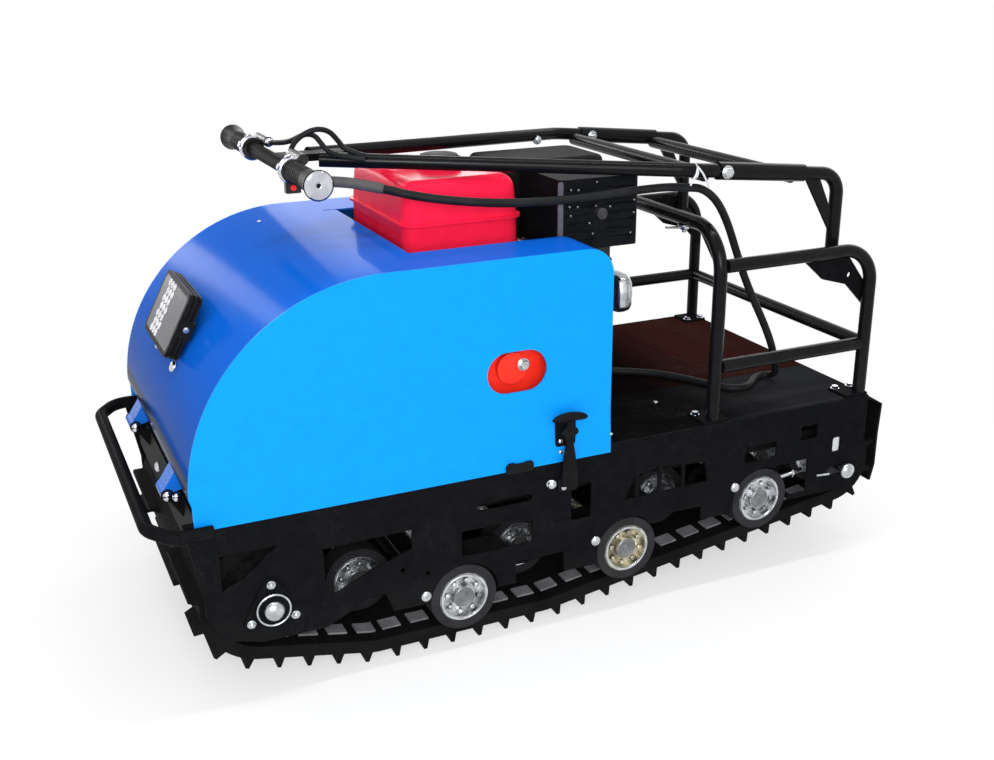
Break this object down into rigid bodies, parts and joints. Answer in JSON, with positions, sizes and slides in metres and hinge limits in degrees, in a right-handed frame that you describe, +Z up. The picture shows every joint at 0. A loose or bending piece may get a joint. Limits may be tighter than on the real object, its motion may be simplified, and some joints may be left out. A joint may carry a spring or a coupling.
{
  "type": "tracked snow tug",
  "caption": "Walk-behind tracked snow tug: pierced frame on a lugged belt, curved hood over a petrol engine, cargo deck with tube rack, and a tow lever folded forward.",
  "frame": {"origin": "centre of the overall box, on the ground under the track's lugs", "axes": "+X forward, +Y to the left, +Z up"},
  "size_m": [1.282, 0.5902, 0.7876],
  "materials": {
    "black_frame": "gloss",
    "hood_blue": "gloss",
    "hood_side_blue": "satin",
    "tank_red": "gloss",
    "starter_red": "gloss",
    "engine_metal": "cast",
    "wheel_alloy": "machined",
    "steel": "zinc plated",
    "track_rubber": "matte",
    "tyre_rubber": "matte",
    "soft_rubber": "satin",
    "plywood": "film faced",
    "black_plastic": "grained",
    "guard_metal": "heat-proof matte",
    "lens": "clear"
  },
  "bodies": {
    "chassis": {"track_belt": "track_rubber", "track_clips": "steel", "side_plate_left": "black_frame", "side_plate_right": "black_frame", "outer_wheel_tyres": "tyre_rubber", "outer_wheel_hubs": "wheel_alloy", "inner_wheel_tyres": "tyre_rubber", "inner_wheel_hubs": "wheel_alloy", "tail_wheel_tyres": "tyre_rubber", "tail_axle": "steel", "drive_axle": "steel", "axle_bearings": "black_frame", "wheel_rails": "black_frame", "frame_cross_tubes": "black_frame", "floor_sheet": "black_frame", "deck_board": "plywood", "rear_flap": "soft_rubber", "bumper_hoop": "black_frame", "hinge_ears": "black_frame", "engine_block": "engine_metal", "starter_cover": "starter_red", "fuel_tank": "tank_red", "tank_cap": "black_plastic", "muffler_guard": "guard_metal", "air_cleaner": "black_plastic", "rack_hoop": "black_frame", "rack_side_left": "black_frame", "rack_side_right": "black_frame", "rack_mid_rails": "black_frame", "rack_feet": "black_frame", "pivot_plates": "black_frame", "latches": "soft_rubber", "harness_deck": "soft_rubber", "drive_unit": "engine_metal", "muffler_can": "engine_metal"},
    "hood": {"hood_wrap": "hood_blue", "hood_side_left": "hood_side_blue", "hood_side_right": "hood_side_blue", "hood_hinge_lugs": "hood_blue", "hood_keepers": "black_frame", "headlamp_body": "black_plastic", "headlamp_lens": "lens"},
    "lever": {"lever_legs": "black_frame", "lever_sleeves": "black_frame", "lever_crossbar": "black_frame", "lever_arms": "black_frame", "handlebar": "black_frame", "grips": "soft_rubber", "hand_controls": "black_plastic", "control_cables": "soft_rubber", "harness_lever": "soft_rubber"}
  },
  "joints": [
    {"name": "lever_swing", "type": "hinge", "parent": "chassis", "child": "lever", "pos_m": [-0.516, 0, 0.527], "axis": [0, -1, 0], "range_deg": [0, 145]},
    {"name": "hood_tilt", "type": "hinge", "parent": "chassis", "child": "hood", "pos_m": [0.589, 0, 0.3], "axis": [0, 1, 0], "range_deg": [0, 72]}
  ],
  "couplings": [
    {"joint": "hood_tilt", "follows": "lever_swing", "ratio": 0.4965}
  ]
}
